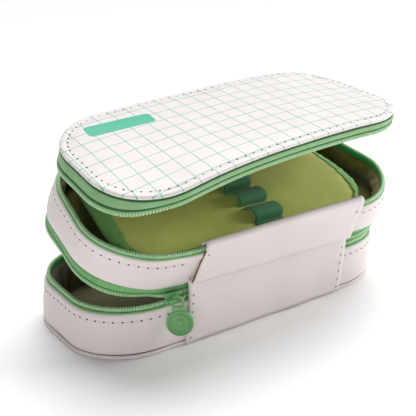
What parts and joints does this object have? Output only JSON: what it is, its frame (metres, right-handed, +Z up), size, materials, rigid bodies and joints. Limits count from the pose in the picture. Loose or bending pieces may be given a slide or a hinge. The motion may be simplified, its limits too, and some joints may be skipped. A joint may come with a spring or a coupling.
{
  "type": "zip pencil case",
  "caption": "Stiff fabric pencil case in levels: a lower box, a swing-up tray with a page of pen loops, and a zipped lid with a printed grid.",
  "frame": {"origin": "middle of the flat face the case rests on", "axes": "+X along the case's length to the right seen from its near side, +Y from the near side (tray's fold) to the far side (lid's fold), +Z up"},
  "size_m": [0.203, 0.1202, 0.1129],
  "materials": {
    "white_leather": "smooth coated, slightly warm white",
    "printed_leather": "smooth coated, printed with a thin mint grid",
    "zip_tape": "woven polyester",
    "zip_teeth": "nylon coil",
    "lining": "olive woven cloth",
    "foam": "soft padding",
    "board": "stiffening sheet",
    "elastic": "dark green ribbed elastic",
    "binding": "green edge tape",
    "slider_metal": "green enamel",
    "pull_rubber": "matte soft rubber",
    "stop_metal": "green enamel"
  },
  "bodies": {
    "case_base": {"base_panel": "white_leather", "base_side_band": "white_leather", "base_side_foam": "foam", "base_lining": "lining", "lower_rim_tape": "zip_tape", "lower_rim_coil": "zip_teeth", "lower_zip_stops": "stop_metal", "front_panel_lower": "white_leather"},
    "tray": {"tray_side_band": "white_leather", "tray_side_foam": "foam", "tray_underside_cloth": "lining", "tray_floor_board": "board", "tray_lining": "lining", "tray_skirt_tape": "zip_tape", "tray_skirt_coil": "zip_teeth", "tray_rim_tape": "zip_tape", "tray_rim_coil": "zip_teeth", "upper_zip_stops": "stop_metal", "front_panel_upper": "white_leather", "back_panel_lower": "white_leather", "page_hinge_tape": "lining"},
    "lid": {"lid_lining": "lining", "lid_board": "board", "lid_cover": "printed_leather", "lid_zip_tape": "zip_tape", "lid_zip_coil": "zip_teeth", "back_panel_upper": "white_leather"},
    "page": {"page_board": "lining", "page_binding": "binding", "pen_loop_strap": "elastic"},
    "lower_slider": {"lower_slider": "slider_metal"},
    "lower_pull": {"lower_pull": "pull_rubber"},
    "upper_slider": {"upper_slider": "slider_metal"},
    "upper_pull": {"upper_pull": "pull_rubber"}
  },
  "joints": [
    {"name": "tray_hinge", "type": "hinge", "parent": "case_base", "child": "tray", "pos_m": [0, -0.04985, 0.037], "axis": [1, 0, 0], "range_deg": [-26, 60]},
    {"name": "lid_hinge", "type": "hinge", "parent": "tray", "child": "lid", "pos_m": [0, 0.02516, 0.11063], "axis": [-1, 0, 0], "range_deg": [-19, 85]},
    {"name": "page_hinge", "type": "hinge", "parent": "tray", "child": "page", "pos_m": [0, -0.05266, 0.05543], "axis": [1, 0, 0], "range_deg": [-5.7, 25.5]},
    {"name": "lower_slider_slide", "type": "slide", "parent": "case_base", "child": "lower_slider", "axis": [-1, 0, 0], "range_m": [-0.002, 0.012]},
    {"name": "lower_pull_swing", "type": "hinge", "parent": "lower_slider", "child": "lower_pull", "pos_m": [-0.0555, -0.05365, 0.0302], "axis": [-1, 0, 0], "range_deg": [0, 90]},
    {"name": "upper_slider_slide", "type": "slide", "parent": "tray", "child": "upper_slider", "axis": [1, 0, 0], "range_m": [-0.002, 0.01]},
    {"name": "upper_pull_swing", "type": "hinge", "parent": "upper_slider", "child": "upper_pull", "pos_m": [0.0575, 0.0323, 0.10466], "axis": [1, 0, 0], "range_deg": [0, 90]}
  ],
  "couplings": [
    {"joint": "page_hinge", "follows": "lid_hinge", "ratio": 0.3}
  ]
}
